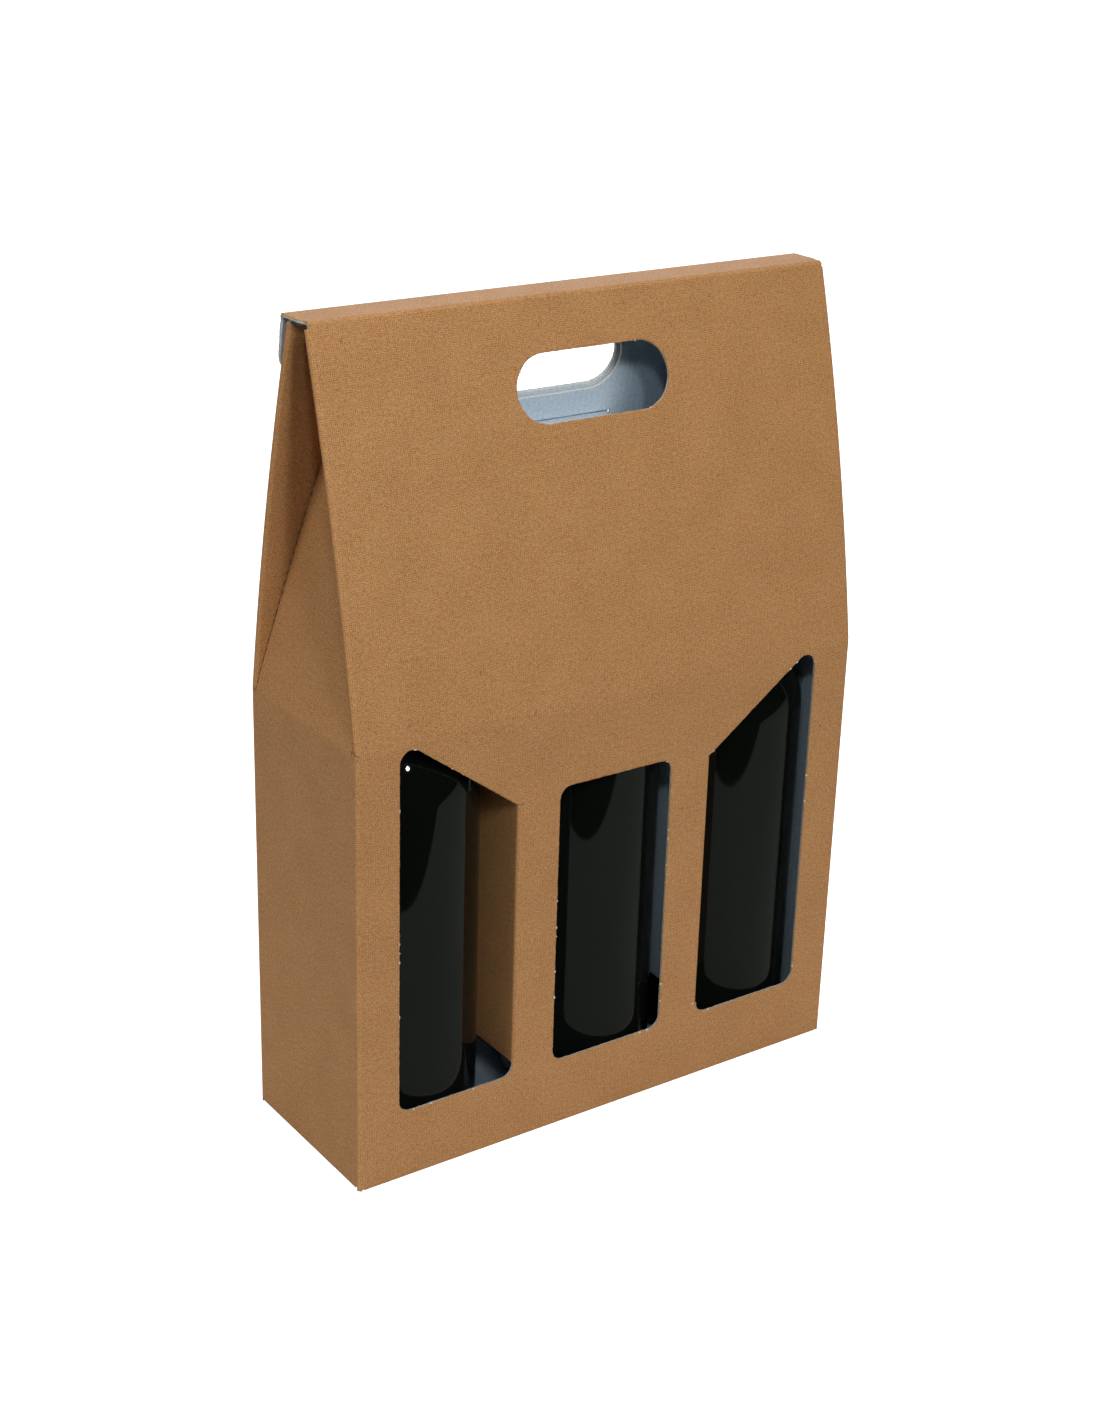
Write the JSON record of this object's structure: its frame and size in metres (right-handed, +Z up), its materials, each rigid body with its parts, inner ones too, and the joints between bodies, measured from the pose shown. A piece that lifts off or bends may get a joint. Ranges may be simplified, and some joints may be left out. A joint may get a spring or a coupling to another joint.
{
  "type": "bottle gift box",
  "caption": "Upright kraft carton that carries wine bottles side by side behind shaped windows, with leaning slopes that meet in a narrow bridge and a carrying hole.",
  "frame": {"origin": "on the floor, under the middle of the box", "axes": "+X to the right seen from the front, +Y from front to back, +Z up"},
  "size_m": [0.27, 0.092, 0.385],
  "materials": {
    "kraft_board": "uncoated kraft paper outside, white liner inside",
    "bottle_glass": "very dark glossy bottle glass",
    "capsule": "dull black neck capsule"
  },
  "bodies": {
    "carton": {"front_panel": "kraft_board", "back_panel": "kraft_board", "left_side_panel": "kraft_board", "right_side_panel": "kraft_board", "glue_flap": "kraft_board", "front_base_flap": "kraft_board", "back_base_flap": "kraft_board", "left_base_flap": "kraft_board", "right_base_flap": "kraft_board"},
    "front_slope": {"front_slope": "kraft_board"},
    "back_slope": {"back_slope": "kraft_board"},
    "bridge": {"top_bridge": "kraft_board"},
    "closure_flap": {"closure_flap": "kraft_board"},
    "left_gusset": {"left_gusset": "kraft_board"},
    "right_gusset": {"right_gusset": "kraft_board"},
    "left_front_wing": {"left_front_wing": "kraft_board"},
    "left_back_wing": {"left_back_wing": "kraft_board"},
    "right_front_wing": {"right_front_wing": "kraft_board"},
    "right_back_wing": {"right_back_wing": "kraft_board"},
    "left_divider": {"left_divider": "kraft_board"},
    "right_divider": {"right_divider": "kraft_board"},
    "left_bottle": {"left_bottle": "bottle_glass", "left_capsule": "capsule"},
    "middle_bottle": {"middle_bottle": "bottle_glass", "middle_capsule": "capsule"},
    "right_bottle": {"right_bottle": "bottle_glass", "right_capsule": "capsule"}
  },
  "joints": [
    {"name": "lid_lift", "type": "hinge", "parent": "front_slope", "child": "bridge", "pos_m": [0, -0.0085, 0.385], "axis": [1, 0, 0], "range_deg": [0, 180]},
    {"name": "closure_flap_swing", "type": "hinge", "parent": "bridge", "child": "closure_flap", "pos_m": [0, 0.01329, 0.385], "axis": [1, 0, 0], "range_deg": [0, 90]},
    {"name": "front_slope_open", "type": "hinge", "parent": "carton", "child": "front_slope", "pos_m": [0, -0.046, 0.2118], "axis": [1, 0, 0], "range_deg": [0, 12.36]},
    {"name": "back_slope_open", "type": "hinge", "parent": "carton", "child": "back_slope", "pos_m": [0, 0.046, 0.2118], "axis": [-1, 0, 0], "range_deg": [0, 12.36]},
    {"name": "left_gusset_open", "type": "hinge", "parent": "carton", "child": "left_gusset", "pos_m": [-0.135, 0, 0.2118], "axis": [0, -1, 0], "range_deg": [0, 12.36]},
    {"name": "right_gusset_open", "type": "hinge", "parent": "carton", "child": "right_gusset", "pos_m": [0.135, 0, 0.2118], "axis": [0, 1, 0], "range_deg": [0, 12.36]},
    {"name": "left_front_wing_unfold", "type": "hinge", "parent": "front_slope", "child": "left_front_wing", "pos_m": [-0.1331, -0.04442, 0.21157], "axis": [0, 0.2138, 0.9769], "range_deg": [0, 68.01]},
    {"name": "left_back_wing_unfold", "type": "hinge", "parent": "back_slope", "child": "left_back_wing", "pos_m": [-0.1331, 0.04442, 0.21157], "axis": [0, 0.2138, -0.9769], "range_deg": [0, 68.01]},
    {"name": "right_front_wing_unfold", "type": "hinge", "parent": "front_slope", "child": "right_front_wing", "pos_m": [0.1331, -0.04442, 0.21157], "axis": [0, -0.2138, -0.9769], "range_deg": [0, 68.01]},
    {"name": "right_back_wing_unfold", "type": "hinge", "parent": "back_slope", "child": "right_back_wing", "pos_m": [0.1331, 0.04442, 0.21157], "axis": [0, -0.2138, 0.9769], "range_deg": [0, 68.01]},
    {"name": "left_divider_swing", "type": "hinge", "parent": "carton", "child": "left_divider", "pos_m": [-0.0519, -0.0444, 0.1], "axis": [0, 0, -1], "range_deg": [-1, 14]},
    {"name": "right_divider_swing", "type": "hinge", "parent": "carton", "child": "right_divider", "pos_m": [0.0519, -0.0444, 0.1], "axis": [0, 0, 1], "range_deg": [-1, 8]},
    {"name": "left_bottle_lift", "type": "slide", "parent": "carton", "child": "left_bottle", "axis": [0, 0, 1], "range_m": [0, 0.015]},
    {"name": "middle_bottle_lift", "type": "slide", "parent": "carton", "child": "middle_bottle", "axis": [0, 0, 1], "range_m": [0, 0.015]},
    {"name": "right_bottle_lift", "type": "slide", "parent": "carton", "child": "right_bottle", "axis": [0, 0, 1], "range_m": [0, 0.015]}
  ],
  "couplings": [
    {"joint": "closure_flap_swing", "follows": "lid_lift", "ratio": 0.5},
    {"joint": "front_slope_open", "follows": "lid_lift", "ratio": 0.0686},
    {"joint": "back_slope_open", "follows": "lid_lift", "ratio": 0.0686},
    {"joint": "left_gusset_open", "follows": "lid_lift", "ratio": 0.0686},
    {"joint": "right_gusset_open", "follows": "lid_lift", "ratio": 0.0686},
    {"joint": "left_front_wing_unfold", "follows": "lid_lift", "ratio": 0.37778},
    {"joint": "left_back_wing_unfold", "follows": "lid_lift", "ratio": 0.37778},
    {"joint": "right_front_wing_unfold", "follows": "lid_lift", "ratio": 0.37778},
    {"joint": "right_back_wing_unfold", "follows": "lid_lift", "ratio": 0.37778}
  ]
}
